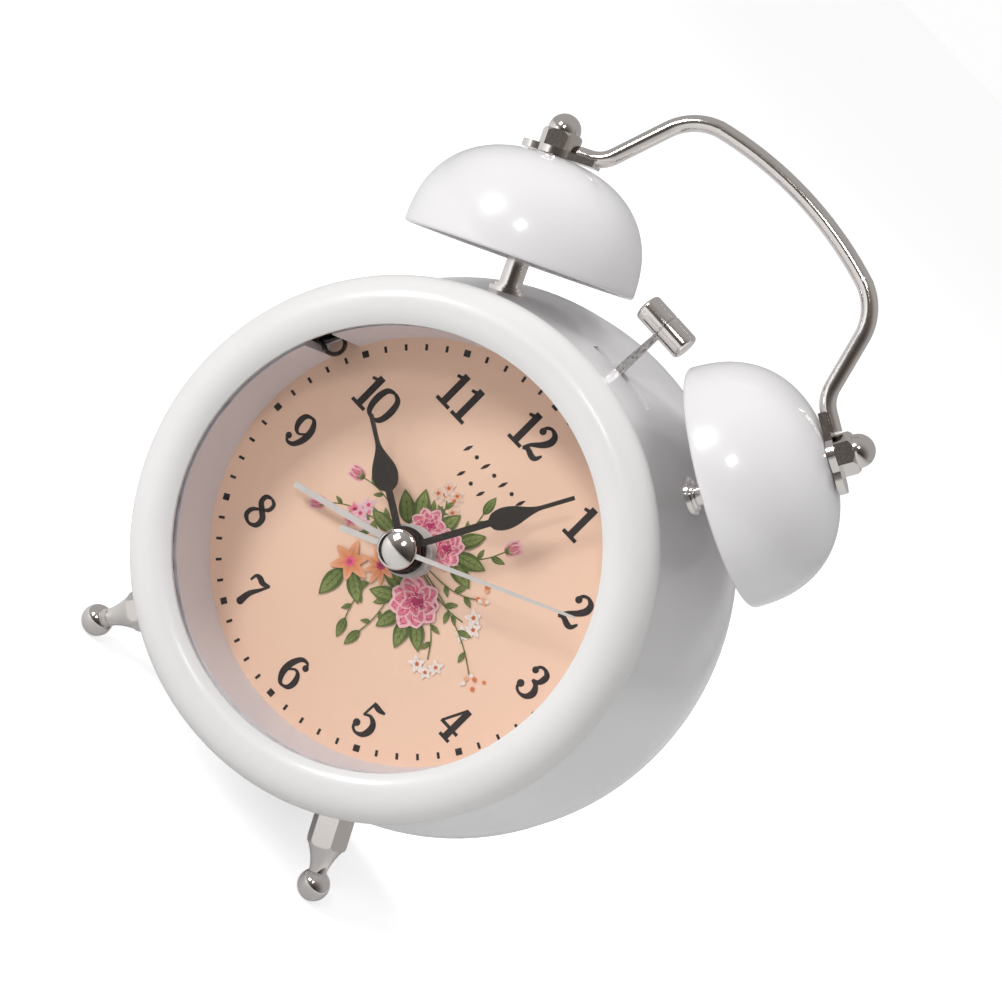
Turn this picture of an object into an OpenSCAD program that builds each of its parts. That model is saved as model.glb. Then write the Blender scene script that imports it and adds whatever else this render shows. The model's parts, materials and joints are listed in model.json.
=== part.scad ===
// Twin-bell alarm clock. Every part is drawn in an upright clock frame: the origin is the middle of
// the dial's face, +X is right, +Y goes back into the case and +Z points to twelve o'clock.
// stand() then leans that frame back until the two ball feet and the case's rear rim meet z = 0.

/* [Case] */
// Radius of the case where the bezel meets it
case_front_r = 38; // [37:0.5:39]
// Largest radius of the case, along its rear band
case_rear_r = 43.5; // [42:0.5:45]
// Depth behind the dial at which the flare ends
flare_end_y = 22; // [20:0.5:24]
// Depth behind the dial of the case's rear edge
case_rear_y = 31.5; // [30:0.5:33]
// Sheet thickness of the case and bezel
sheet = 0.8; // [0.6:0.1:1]

/* [Bezel and dial] */
// Radius of the bezel's window
window_r = 31.65; // [31:0.05:32]
// Radius of the rounded bezel tube's section
bezel_tube_r = 4.4; // [4.2:0.1:4.6]
// Radius of the circle that the middle of the tube follows
bezel_ring_r = 34.6; // [34.4:0.1:34.8]
// Distance of the tube's middle in front of the dial
bezel_front = 11.8; // [11.4:0.1:12.2]
// Inner radius of the reflector ring at the dial
reflector_r = 31.45; // [31:0.05:31.5]
// Clockwise angle of the lamp notch, from twelve o'clock
lamp_angle = -67.4; // [-80:0.1:-50]

/* [Hands] */
// Clockwise angle of the hour hand
hour_angle = -62.3; // [-180:0.1:180]
// Clockwise angle of the minute hand
minute_angle = 26.1; // [-180:0.1:180]
// Clockwise angle of the second hand
second_angle = 62.3; // [-180:0.1:180]
// Clockwise angle of the alarm hand
alarm_angle = -108.2; // [-180:0.1:180]
// Length of the hour hand
hour_length = 20.4; // [18:0.1:22]
// Length of the minute hand
minute_length = 26.7; // [25:0.1:28]
// Length of the second hand
second_length = 27.8; // [26:0.1:29]
// Length of the alarm hand
alarm_length = 19.8; // [18:0.1:21]

/* [Bells and handle] */
// Angle from twelve o'clock at which each post leaves the case
post_angle = 30.5; // [29:0.5:32]
// Lean of each post and bell away from upright
bell_lean = 27.6; // [26:0.1:29]
// Depth of the bells' middle plane behind the dial
bell_y = 7.4; // [7:0.1:8]
// Forward lean of each post and bell, square to the flared case
bell_tip = 2.5; // [0:0.5:4]
// Radius of a bell's rim
bell_r = 18; // [17.5:0.1:18.6]
// Height of a bell from rim to top
bell_h = 16.35; // [15.5:0.05:17]
// Distance of a bell's rim beyond the post's base point
rim_gap = 6; // [5.5:0.1:6.5]
// Radius of the handle wire
wire_r = 1.25; // [1.1:0.05:1.4]
// Height of the handle's grip above the dial's middle
grip_z = 76.3; // [74:0.1:78]
// Radius of the grip's gentle arch
grip_r = 60; // [50:1:80]
// Angle of the arch from its middle to each corner
grip_turn = 14.5; // [12:0.1:16]
// Lean of each leg of the handle away from upright
leg_lean = 17.4; // [15:0.1:20]
// Sideways set of the grip from the middle
grip_shift = -0.5; // [-1.5:0.1:1.5]

/* [Feet] */
// Angle of each foot from six o'clock
foot_angle = 30.5; // [29:0.5:32]
// Depth of the feet behind the dial
foot_y = 3; // [3:0.1:4]
// Distance from the dial's middle to a foot's ball
foot_reach = 51.6; // [50:0.1:53]
// Radius of a foot's ball
ball_r = 2.45; // [2.3:0.05:2.6]

/* [Hammer] */
// Sideways place of the hammer at rest
hammer_x = 0.7; // [0:0.1:1]
// Depth of the hammer behind the dial
hammer_y = 3; // [3:0.1:3.2]
// Height of the hammer's pivot above the dial's middle
hammer_pivot_z = 31; // [30:0.1:32]
// Height of the middle of the hammer's head
head_z = 49.3; // [48:0.1:50]
// Length of the hammer's head
head_length = 8.7; // [8:0.1:9]
// Radius of the hammer's head
head_r = 2.15; // [2:0.05:2.2]

/* [Hidden] */
$fn = 96;

WHITE = [0.93, 0.93, 0.93];
CHROME = [0.72, 0.69, 0.67];
PEACH = [0.91, 0.74, 0.63];
BLACK = [0.08, 0.07, 0.07];
SILVER = [0.8, 0.8, 0.8];
NYLON = [0.88, 0.86, 0.8];
BRASS = [0.75, 0.6, 0.3];

// Case and bezel
bezel_back = 8.4;
case_flare = (case_rear_r - case_front_r) / (flare_end_y + bezel_back);
rear_round = 2.5;
skirt_gap = 0.05;
lens_front = 14.4;
lens_thick = 1.5;
lens_r = 33.6;
dial_thick = 0.5;
plate_back = 2;
plate_r = 38.2;
pillar_r = 36;
pillar_angles = [-75, 75, 180];
cover_front = 28.6;
cover_back = 30.8;
cover_r = 40.6;
notch_half = 2.2;
lamp_y = -5;
bulb_r = 1.95;
bulb_tip = 30.1;

// Standing on the two balls and on the rear rim's rounded edge
foot_ball_z = -foot_reach * cos(foot_angle);
rear_round_y = case_rear_y - rear_round;
rear_round_z = rear_round - case_rear_r;
wheelbase = rear_round_y - foot_y;
rise = rear_round_z - foot_ball_z;
lean = atan2(rise, wheelbase) - asin((rear_round - ball_r) / norm([rise, wheelbase]));
stand_lift = ball_r + foot_y * sin(lean) - foot_ball_z * cos(lean);
front_y = -bezel_front * cos(lean) - bezel_ring_r * sin(lean) - bezel_tube_r;
knob_back = 37.6;
knob_r = 5.4;
knob_top_z = -7.4 + knob_r;
rear_y = knob_back * cos(lean) + knob_top_z * sin(lean);
stand_shift = -(front_y + rear_y) / 2;

// Bells
post_base_r = 39.66;
post_x = post_base_r * sin(post_angle);
post_z = post_base_r * cos(post_angle);
bell_wall = 1;
dome_power = 2.4;
tab_thick = 1.1;
post_r = 1.75;
screw_r = 1.5;
screw_hole_r = 1.6;
bell_top = rim_gap + bell_h;
nut_base = bell_top + tab_thick;
nut_flats = 5.5;
hex_r = nut_flats / 2 / cos(30);

// Movement, from the front wall to the back wall
box_front = plate_back;
box_wall = 1.2;
box_back = 17;
box_half = 22;
box_bottom = -12.5;
box_top = 17.6;

// Clock train: teeth and modules. The seconds pinion drives the third wheel, whose pinion drives
// the minute wheel; the minute pinion drives the motion wheel, whose pinion drives the hour wheel.
second_pinion_teeth = 8;
third_teeth = 64;
third_pinion_teeth = 8;
minute_teeth = 60;
minute_pinion_teeth = 12;
motion_teeth = 36;
motion_pinion_teeth = 10;
hour_teeth = 40;
second_teeth = 48;
fifth_pinion_teeth = 8;
fifth_teeth = 30;
rotor_pinion_teeth = 6;
alarm_teeth = 36;
alarm_pinion_teeth = 18;
time_pinion_teeth = 12;
third_distance = 7.2;
motion_distance = 7.5;
fifth_distance = 7;
rotor_distance = 5.4;
alarm_distance = 8.1;
third_module = 2 * third_distance / (second_pinion_teeth + third_teeth);
minute_module = 2 * third_distance / (third_pinion_teeth + minute_teeth);
motion_module = 2 * motion_distance / (minute_pinion_teeth + motion_teeth);
hour_module = 2 * motion_distance / (motion_pinion_teeth + hour_teeth);
second_module = 2 * fifth_distance / (fifth_pinion_teeth + second_teeth);
rotor_module = 2 * rotor_distance / (rotor_pinion_teeth + fifth_teeth);
alarm_module = 2 * alarm_distance / (alarm_pinion_teeth + alarm_teeth);
time_distance = motion_module * (time_pinion_teeth + motion_teeth) / 2;

// Directions between arbors, anticlockwise from +X as seen from the front
third_dir = 180;
motion_dir = -40;
fifth_dir = 60;
rotor_dir = 20;
alarm_dir = -110;
time_dir = -20;
third_at = third_distance * [cos(third_dir), sin(third_dir)];
motion_at = motion_distance * [cos(motion_dir), sin(motion_dir)];
fifth_at = fifth_distance * [cos(fifth_dir), sin(fifth_dir)];
rotor_at = fifth_at + rotor_distance * [cos(rotor_dir), sin(rotor_dir)];
alarm_at = alarm_distance * [cos(alarm_dir), sin(alarm_dir)];
time_at = motion_at + time_distance * [cos(time_dir), sin(time_dir)];

// Depths of the wheels' levels
alarm_level = 4;
hour_level = 5.6;
motion_level = 7.2;
minute_level = 9;
third_level = 10.4;
second_level = 12.2;
fifth_level = 13.6;
wheel_thick = 0.8;
pinion_thick = 1.2;
arbor_r = 0.4;

// The four coaxial shafts and the running gap between them
second_r = 0.75;
running_gap = 0.05;
pipe_wall = 0.7;
minute_r = second_r + running_gap + pipe_wall;
hour_r = minute_r + running_gap + pipe_wall;
alarm_r = hour_r + running_gap + pipe_wall;
alarm_hand_y = -3;
hour_hand_y = -4.8;
minute_hand_y = -6.3;
second_hand_y = -7.8;
hand_thick = 0.4;
stem_half = 0.5;
point_half = 0.3;
pear_rise = 2.3;

// Battery, along X behind the movement's lower edge
cell_r = 7.1;
cell_length = 49.5;
cell_y = 20.8;
cell_z = -23;
bay_half = 28;
bay_wall = 1.2;
bay_limit_r = 40;
door_gap = 0.3;
door_low = -31;
door_high = -15.2;
door_r = 38.2;

// Bell drive
cam_z = 24;
cam_orbit = 0.8;
cam_pin_r = 0.6;
motor_r = 5;
bracket_front = 5;
slot_left = -4.4;
slot_right = 7.8;
slot_width = 2;

// Switch and button on the back
control_x = 15;
control_z = 21;
switch_travel = 4;
button_r = 3.5;
button_travel = 1.5;

// ---- helpers ----

module stand() translate([0, stand_shift, stand_lift]) rotate([-lean, 0, 0]) children();

// Turns a drawing of radius against depth about the dial's axis
module turned() rotate([-90, 0, 0]) rotate_extrude($fn = 180) children();

// Turns a drawing of radius against height about Z
module lathe() rotate_extrude($fn = 96) children();

// Extrudes a front view between two depths
module plate(y0, y1) translate([0, y1, 0]) rotate([90, 0, 0]) linear_extrude(height = y1 - y0) children();

// A round bar along the dial's axis direction
module bar(at, r, y0, y1) translate([at[0], y0, at[1]]) rotate([-90, 0, 0]) cylinder(r = r, h = y1 - y0);

// Places +Z along a clockwise dial angle, at a depth
module radial(angle, y) translate([0, y, 0]) rotate([0, angle, 0]) children();

// Places +Z along a bell's post; side is -1 for left and 1 for right
module on_post(side) translate([side * post_x, bell_y, post_z]) rotate([0, side * bell_lean, 0])
    rotate([bell_tip, 0, 0]) children();

function case_r(y) = case_front_r + case_flare * (y + bezel_back);

function arc(cx, cy, r, a0, a1, n) = [for (i = [0:n]) [cx + r * cos(a0 + (a1 - a0) * i / n),
                                                       cy + r * sin(a0 + (a1 - a0) * i / n)]];

// A solid of everything inside the case's outer surface, grown by a gap, to cut seats that fit it
module case_envelope(gap) turned() polygon([[0, -bezel_back], [case_front_r + gap, -bezel_back],
                                            [case_rear_r + gap, flare_end_y], [0, flare_end_y]]);

// Outline of a wheel or pinion: six points a tooth, with backlash and tip clearance
function tooth_ring(teeth, size, phase) = [for (i = [0:teeth - 1]) for (p = [[-0.3, -1.25], [-0.2, 0],
    [-0.08, 0.8], [0.08, 0.8], [0.2, 0], [0.3, -1.25]]) let (a = phase + 360 / teeth * (i + p[0]),
    r = size * (teeth / 2 + p[1])) [r * cos(a), r * sin(a)]];

// Phase that puts a gear in mesh with its driver, which lies against direction dir
function meshed(driver_phase, driver_teeth, teeth, dir) =
    dir + 180 + 180 / teeth - (driver_phase - dir) * driver_teeth / teeth;

module gear(at, teeth, size, phase, y, thick) translate([at[0], 0, at[1]]) plate(y, y + thick)
    polygon(tooth_ring(teeth, size, phase));

third_phase = meshed(0, second_pinion_teeth, third_teeth, third_dir);
minute_phase = meshed(0, third_pinion_teeth, minute_teeth, third_dir + 180);
motion_phase = meshed(0, minute_pinion_teeth, motion_teeth, motion_dir);
hour_phase = meshed(0, motion_pinion_teeth, hour_teeth, motion_dir + 180);
second_phase = meshed(0, fifth_pinion_teeth, second_teeth, fifth_dir + 180);
fifth_phase = meshed(0, rotor_pinion_teeth, fifth_teeth, rotor_dir + 180);
alarm_phase = meshed(0, alarm_pinion_teeth, alarm_teeth, alarm_dir + 180);
time_phase = meshed(motion_phase, motion_teeth, time_pinion_teeth, time_dir);

module hexagon(flats) circle(r = flats / 2 / cos(30), $fn = 6);

// ---- case, bezel and dial ----

module bezel() color(WHITE) stand() turned() {
    difference() {
        union() {
            translate([bezel_ring_r, -bezel_front]) circle(r = bezel_tube_r);
            polygon([[bezel_ring_r, -bezel_front], [bezel_ring_r + bezel_tube_r, -bezel_front],
                     [case_front_r + 0.6, -bezel_back], [bezel_ring_r, -bezel_back]]);
        }
        translate([bezel_ring_r, -bezel_front]) circle(r = bezel_tube_r - 1);
        polygon([[bezel_ring_r - 5, -bezel_front], [bezel_ring_r + bezel_tube_r - 1, -bezel_front],
                 [case_front_r - sheet - 0.9, -bezel_back - 0.8], [bezel_ring_r - 5, -bezel_back - 0.8]]);
        translate([bezel_ring_r - 6, -bezel_back - 0.9]) square([case_front_r - sheet - 0.9 - bezel_ring_r + 6, 8]);
        translate([bezel_ring_r - 6, -lens_front]) square([5.5, 12]);
        translate([window_r - 3, -20]) square([3, 12]);
        translate([bezel_ring_r + 1, -bezel_back]) square([6, 4]);
    }
    // skirt that slips inside the case's front edge
    polygon([[case_front_r - sheet - 0.9, -bezel_back - 0.1], [case_front_r - sheet - skirt_gap, -bezel_back - 0.1],
             [case_front_r - sheet - skirt_gap, -4.8], [case_front_r - sheet - 0.9, -4.8]]);
}

module lens() color([0.8, 0.85, 0.9, 0.3]) stand()
    bar([0, 0], lens_r, -lens_front, lens_thick - lens_front);

module reflector_ring() color([0.86, 0.85, 0.88]) stand() difference() {
    front = lens_thick - lens_front;
    turned() polygon([[reflector_r, 0], [window_r, front], [lens_r, front], [lens_r, front + 1.2],
                      [window_r + 1.4, front + 1.2], [reflector_r + 1.4, -1.2], [35, -1.2], [35, 0]]);
    // notch for the lamp, right through from the lens to the dial
    radial(lamp_angle, 0) translate([-notch_half, -20, window_r - 3]) cube([2 * notch_half, 21, 4.55]);
}

module dial() color(PEACH) stand() difference() {
    bar([0, 0], 34, 0, dial_thick);
    bar([0, 0], 3.6, -1, 2);
}

module dial_washer() color(SILVER) stand() difference() {
    bar([0, 0], 3.9, -0.5, dial_thick);
    bar([0, 0], alarm_r + 0.15, -1, 2);
    difference() {
        bar([0, 0], 5, 0, 2);
        bar([0, 0], 3.5, -1, 3);
    }
}

module dial_plate() color(NYLON) stand() difference() {
    union() {
        bar([0, 0], plate_r, dial_thick, plate_back);
        for (a = pillar_angles) radial(a, 0) bar([0, pillar_r], 2, plate_back - 0.1, cover_front);
    }
    bar([0, 0], 5, -1, 4);
    for (a = pillar_angles) radial(a, 0) bar([0, pillar_r], 1, 12, 40);
    for (side = [-1, 1]) radial(180 - side * foot_angle, 0) translate([-4.2, -1, 34.6]) cube([8.4, 8, 8]);
}

module case_shell() color(WHITE) stand() difference() {
    turned() polygon(concat([[case_front_r, -bezel_back], [case_rear_r, flare_end_y]],
        arc(case_rear_r - rear_round, rear_round_y, rear_round, 0, 90, 12),
        [[cover_r + 0.1, case_rear_y], [cover_r + 0.1, case_rear_y - 1.6],
         [case_rear_r - rear_round, case_rear_y - 1.6]],
        arc(case_rear_r - rear_round, rear_round_y, rear_round - sheet, 90, 0, 12),
        [[case_rear_r - sheet, flare_end_y], [case_front_r - sheet, -bezel_back]]));
    for (side = [-1, 1]) {
        on_post(side) cylinder(r = screw_hole_r, h = 12, center = true);
        radial(180 - side * foot_angle, foot_y) translate([0, 0, 30]) cylinder(r = screw_hole_r, h = 20);
    }
    // slot for the hammer's arm
    plate(hammer_y - slot_width / 2, hammer_y + slot_width / 2) {
        translate([slot_left, 30]) square([slot_right - slot_left, 20]);
    }
}

// ---- back ----

module door_outline(gap) intersection() {
    translate([-bay_half + gap, door_low + gap]) square([2 * (bay_half - gap), door_high - door_low - 2 * gap]);
    circle(r = door_r - gap);
}

module back_cover() color(WHITE) stand() difference() {
    union() {
        bar([0, 0], cover_r, cover_front, cover_back);
        difference() {
            bar([0, 0], cover_r, 25, cover_front + 0.1);
            bar([0, 0], cover_r - 1.4, 24, cover_front);
        }
        // battery bay
        intersection() {
            translate([-bay_half, cell_y - cell_r - bay_wall, cell_z - cell_r - bay_wall])
                cube([2 * bay_half, cover_front - cell_y + cell_r + bay_wall + 0.1, 2 * (cell_r + bay_wall)]);
            bar([0, 0], bay_limit_r, 0, 40);
        }
    }
    intersection() {
        translate([-bay_half + bay_wall, cell_y - cell_r, cell_z - cell_r])
            cube([2 * (bay_half - bay_wall), 30, 2 * cell_r]);
        bar([0, 0], bay_limit_r - 0.6, 0, 29);
    }
    plate(cover_back - 1.7, cover_back + 1) door_outline(0);
    bar(time_at, 1.75, 20, 40);
    bar(alarm_at, 1.75, 20, 40);
    for (a = pillar_angles) radial(a, 0) {
        bar([0, pillar_r], 1.25, 20, 40);
        bar([0, pillar_r], 2.5, cover_back - 1, 40);
    }
    translate([-control_x - 2.2, 20, control_z - 1.7]) cube([switch_travel + 4.4, 20, 3.4]);
    bar([control_x, control_z], button_r + 0.05, 20, 40);
    // sound holes over the bell motor
    for (i = [-2:2]) translate([hammer_x + 3 * i - 0.6, 20, 30]) cube([1.2, 20, 5]);
}

module back_screws() color(SILVER) stand() for (a = pillar_angles) radial(a, 0) difference() {
    union() {
        bar([0, pillar_r], 2.3, cover_back - 1, cover_back + 0.3);
        bar([0, pillar_r], 0.95, cover_back - 9, cover_back - 0.9);
    }
    translate([-1.8, cover_back - 0.2, pillar_r - 0.3]) cube([3.6, 2, 0.6]);
    translate([-0.3, cover_back - 0.2, pillar_r - 1.8]) cube([0.6, 2, 3.6]);
}

module battery_door() color(WHITE) stand() {
    plate(cover_back - 1.6, cover_back) door_outline(door_gap);
    for (i = [-2:2]) translate([i * 2.4 - 0.5, cover_back - 0.1, door_high - 6]) cube([1, 0.7, 4]);
}

module battery() color([0.3, 0.32, 0.36]) stand() translate([0, cell_y, cell_z]) rotate([0, 90, 0]) {
    translate([0, 0, -cell_length / 2]) cylinder(r = cell_r - 0.05, h = cell_length - 1);
    translate([0, 0, cell_length / 2 - 1.05]) cylinder(r = 2.7, h = 1.05);
}

module contact_positive() color(SILVER) stand()
    translate([cell_length / 2, cell_y - 4, cell_z - 4]) cube([0.6, 8, 8]);

module contact_negative() color(SILVER) stand() translate([0, cell_y, cell_z]) rotate([0, 90, 0]) difference() {
    translate([0, 0, -bay_half + bay_wall]) cylinder(r1 = 4.5, r2 = 2.2, h = bay_half - bay_wall - cell_length / 2);
    translate([0, 0, -bay_half + bay_wall - 1]) cylinder(r = 1.6, h = 8);
}

// ---- movement ----

module box_outline(inset) translate([-box_half + inset, box_bottom + inset])
    square([2 * (box_half - inset), box_top - box_bottom - 2 * inset]);

module movement_front() color(NYLON) stand() difference() {
    plate(box_front, box_front + box_wall) box_outline(0);
    bar([0, 0], alarm_r + running_gap, 0, 6);
    for (at = [third_at, motion_at, fifth_at, rotor_at, alarm_at, time_at])
        bar(at, arbor_r + running_gap, box_front + 0.4, 6);
}

module movement_housing() color(NYLON) stand() difference() {
    plate(box_front + box_wall, box_back) box_outline(0);
    plate(box_front + box_wall - 1, box_back - box_wall) box_outline(box_wall);
    for (at = [[0, 0], third_at, motion_at, fifth_at, rotor_at]) bar(at, arbor_r + running_gap, 10, box_back - 0.4);
    bar(alarm_at, 0.8 + running_gap, 10, 20);
    bar(time_at, 1.2 + running_gap, 10, 20);
}

module circuit_board() color([0.15, 0.4, 0.2]) stand() plate(11.5, 12.5)
    translate([-20, -11]) square([11, 9.5]);

module stator() color([0.6, 0.6, 0.62]) stand() plate(10, 11.2) difference() {
    union() {
        translate([5.2, 4.2]) square([8.8, 9.8]);
        translate([-17, 12.2]) square([23, 1.8]);
        translate([-17, 7.4]) square([22.5, 1.6]);
        translate([-17, 7.4]) square([1.8, 6.6]);
    }
    translate(rotor_at) circle(r = 2.95);
}

module coil() color([0.7, 0.35, 0.18]) stand() difference() {
    translate([-14.5, 10.6, 13.1]) rotate([0, 90, 0]) cylinder(r = 3.2, h = 12);
    translate([-16, 9.95, 12.15]) cube([16, 1.3, 1.9]);
}

module rotor() color([0.25, 0.25, 0.27]) stand() {
    bar(rotor_at, arbor_r, box_front + 0.5, box_back - 0.5);
    bar(rotor_at, 2.5, 9.4, 12.4);
    gear(rotor_at, rotor_pinion_teeth, rotor_module, 0, fifth_level, pinion_thick);
}

module fifth_wheel() color(BRASS) stand() {
    bar(fifth_at, arbor_r, box_front + 0.5, box_back - 0.5);
    gear(fifth_at, fifth_pinion_teeth, second_module, 0, second_level, fifth_level - second_level);
    gear(fifth_at, fifth_teeth, rotor_module, fifth_phase, fifth_level, wheel_thick);
}

module third_wheel() color(BRASS) stand() {
    bar(third_at, arbor_r, box_front + 0.5, box_back - 0.5);
    gear(third_at, third_pinion_teeth, minute_module, 0, minute_level - 0.2, third_level - minute_level + 0.2);
    gear(third_at, third_teeth, third_module, third_phase, third_level, wheel_thick);
}

module motion_wheel() color(NYLON) stand() {
    bar(motion_at, arbor_r, box_front + 0.5, box_back - 0.5);
    gear(motion_at, motion_pinion_teeth, hour_module, 0, hour_level, motion_level - hour_level);
    gear(motion_at, motion_teeth, motion_module, motion_phase, motion_level, wheel_thick);
}

module second_arbor() color(SILVER) stand() {
    bar([0, 0], second_r, second_hand_y - 0.5, minute_level + 1);
    bar([0, 0], arbor_r, minute_level + 0.9, box_back - 0.5);
    gear([0, 0], second_pinion_teeth, third_module, 0, third_level - 0.2, pinion_thick);
    gear([0, 0], second_teeth, second_module, second_phase, second_level, wheel_thick);
}

module pipe(outer, inner, y0, y1) difference() {
    bar([0, 0], outer, y0, y1);
    bar([0, 0], inner, y0 - 1, y1 + 1);
}

module minute_pipe() color(BRASS) stand() {
    pipe(minute_r, second_r + running_gap, minute_hand_y - 0.5, minute_level + wheel_thick);
    difference() {
        union() {
            gear([0, 0], minute_pinion_teeth, motion_module, 0, motion_level, pinion_thick);
            gear([0, 0], minute_teeth, minute_module, minute_phase, minute_level, wheel_thick);
        }
        bar([0, 0], minute_r - 0.1, 0, 20);
    }
}

module hour_pipe() color(NYLON) stand() {
    pipe(hour_r, minute_r + running_gap, hour_hand_y - 0.4, hour_level + wheel_thick);
    difference() {
        gear([0, 0], hour_teeth, hour_module, hour_phase, hour_level, wheel_thick);
        bar([0, 0], hour_r - 0.1, 0, 20);
    }
}

module alarm_pipe() color(NYLON) stand() {
    pipe(alarm_r, hour_r + running_gap, alarm_hand_y - 0.2, alarm_level + wheel_thick);
    difference() {
        gear([0, 0], alarm_teeth, alarm_module, alarm_phase, alarm_level, wheel_thick);
        bar([0, 0], alarm_r - 0.1, 0, 20);
    }
}

// ---- hands ----

// Half width of a pear-shaped hand at a distance from its pivot: a thin stem, a pear that swells fast
// and dies away slowly, and a thin point
function pear_half(d, start, bulge, fall) = d < start ? stem_half
    : d < start + pear_rise ? stem_half + (bulge - stem_half) * sqrt(1 - pow(1 - (d - start) / pear_rise, 2))
    : d < start + pear_rise + fall ? point_half
        + (bulge - point_half) * (1 + cos(180 * (d - start - pear_rise) / fall)) / 2
    : point_half;

module pear_hand(length, start, bulge, fall, hub, hole, y) {
    steps = 60;
    function half(i) = pear_half(length * i / steps, start, bulge, fall);
    plate(y, y + hand_thick) difference() {
        union() {
            polygon(concat([for (i = [0:steps]) [half(i), length * i / steps]],
                           [for (i = [steps:-1:0]) [-half(i), length * i / steps]]));
            circle(r = hub);
        }
        circle(r = hole + 0.02);
    }
}

module hour_hand() color(BLACK) stand() rotate([0, hour_angle, 0])
    pear_hand(hour_length, 9, 1.92, 5.2, 3.5, hour_r, hour_hand_y);

module minute_hand() color(BLACK) stand() rotate([0, minute_angle, 0])
    pear_hand(minute_length, 13.9, 1.62, 5.7, 3.1, minute_r, minute_hand_y);

module second_hand() color(SILVER) stand() rotate([0, second_angle, 0])
    plate(second_hand_y, second_hand_y + hand_thick) difference() {
        union() {
            polygon([[-0.46, -9.2], [0.46, -9.2], [0.38, 0], [0.19, second_length], [-0.19, second_length],
                     [-0.38, 0]]);
            circle(r = 2);
        }
        circle(r = second_r + 0.02);
    }

module alarm_hand() color(SILVER) stand() rotate([0, alarm_angle, 0])
    plate(alarm_hand_y, alarm_hand_y + hand_thick) difference() {
        union() {
            polygon([[-0.52, 0], [0.52, 0], [0.44, alarm_length], [-0.44, alarm_length]]);
            circle(r = 3.9);
        }
        circle(r = alarm_r + 0.02);
    }

// Polished cap pressed over the second hand
module hand_cap() color(CHROME) stand() turned() difference() {
    translate([0, second_hand_y]) intersection() {
        translate([0, 2.5]) circle(r = 3.9);
        translate([0, -4]) square([4, 4]);
    }
    translate([-1, second_hand_y - 0.6]) square([1 + second_r, 2]);
}

// ---- knobs and controls on the back ----

module back_knob(at) {
    flutes = 18;
    difference() {
        bar(at, knob_r, 31.6, knob_back);
        for (i = [0:flutes - 1])
            bar(at + (knob_r + 0.35) * [cos(360 * i / flutes), sin(360 * i / flutes)], 0.7, 31, knob_back + 1);
        bar(at, knob_r - 1.2, knob_back - 0.5, knob_back + 1);
        bar(at, 1.5, 30, 35);
    }
}

module time_arbor() color(NYLON) stand() {
    bar(time_at, arbor_r, box_front + 0.5, motion_level + 0.1);
    gear(time_at, time_pinion_teeth, motion_module, time_phase, motion_level - 0.2, pinion_thick);
    bar(time_at, 1.2, motion_level + pinion_thick - 0.2, box_back + 0.4);
    bar(time_at, 1.5, box_back + 0.3, 35);
}

module time_knob() color(BLACK) stand() back_knob(time_at);

module alarm_arbor() color(NYLON) stand() {
    bar(alarm_at, arbor_r, box_front + 0.5, alarm_level + 0.1);
    gear(alarm_at, alarm_pinion_teeth, alarm_module, 0, alarm_level - 0.2, pinion_thick);
    bar(alarm_at, 0.8, alarm_level + pinion_thick - 0.2, box_back + 0.4);
    bar(alarm_at, 1.5, box_back + 0.3, 35);
}

module alarm_knob() color(BLACK) stand() back_knob(alarm_at);

module alarm_switch() color(BLACK) stand() translate([-control_x, 0, control_z]) {
    translate([-2, cover_front - 1.5, -1.5]) cube([4, cover_back - cover_front + 3.3, 3]);
    translate([-5, cover_front - 1.5, -3]) cube([10, 1.2, 6]);
}

module light_button() color([0.75, 0.75, 0.78]) stand() {
    bar([control_x, control_z], button_r, cover_front - 1.6, cover_back + 2);
    bar([control_x, control_z], button_r + 1, cover_front - 1.6, cover_front - 0.3);
}

// ---- lamp ----

module lamp_socket() color(BLACK) stand() radial(lamp_angle, 0) difference() {
    translate([-3, -11.6, window_r + 1.6]) cube([6, 10.4, 1.8]);
    translate([0, lamp_y, window_r]) cylinder(r = bulb_r + 0.05, h = 2.7);
}

module lamp_bulb() color([0.9, 0.93, 0.95, 0.5]) stand() radial(lamp_angle, lamp_y) translate([0, 0, bulb_tip + bulb_r]) {
    cylinder(r = bulb_r, h = window_r + 2.7 - bulb_tip - bulb_r);
    sphere(r = bulb_r);
}

// ---- bells ----

module bell_dome(r, h) polygon(concat([[0, 0]], [for (i = [0:24]) let (t = 90 * i / 24)
    [r * pow(cos(t), 2 / dome_power), h * pow(sin(t), 2 / dome_power)]]));

module bell(side) on_post(side) translate([0, 0, rim_gap]) difference() {
    lathe() difference() {
        bell_dome(bell_r, bell_h);
        bell_dome(bell_r - bell_wall, bell_h - bell_wall);
    }
    cylinder(r = screw_hole_r, h = 40);
}

module bell_left() color(WHITE) stand() bell(-1);

module bell_right() color(WHITE) stand() bell(1);

module bell_post(side) on_post(side) {
    translate([0, 0, 2]) cylinder(r = post_r, h = bell_top - bell_wall - 2.1);
    translate([0, 0, -4]) cylinder(r = screw_r, h = nut_base + 8);
}

module bell_post_left() color(CHROME) stand() bell_post(-1);

module bell_post_right() color(CHROME) stand() bell_post(1);

// A flat washer under each post, seated on the case
module bell_post_washers() color(CHROME) stand() for (side = [-1, 1]) difference() {
    on_post(side) difference() {
        union() {
            cylinder(r = 2.9, h = 1.5);
            cylinder(r = 2.3, h = 2);
        }
        translate([0, 0, -1]) cylinder(r = screw_hole_r, h = 4);
    }
    case_envelope(0.02);
}

module bell_post_nuts() color(SILVER) stand() for (side = [-1, 1]) on_post(side) difference() {
    translate([0, 0, -3.6]) linear_extrude(height = 2.2) hexagon(nut_flats);
    translate([0, 0, -5]) cylinder(r = screw_hole_r, h = 8);
}

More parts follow.
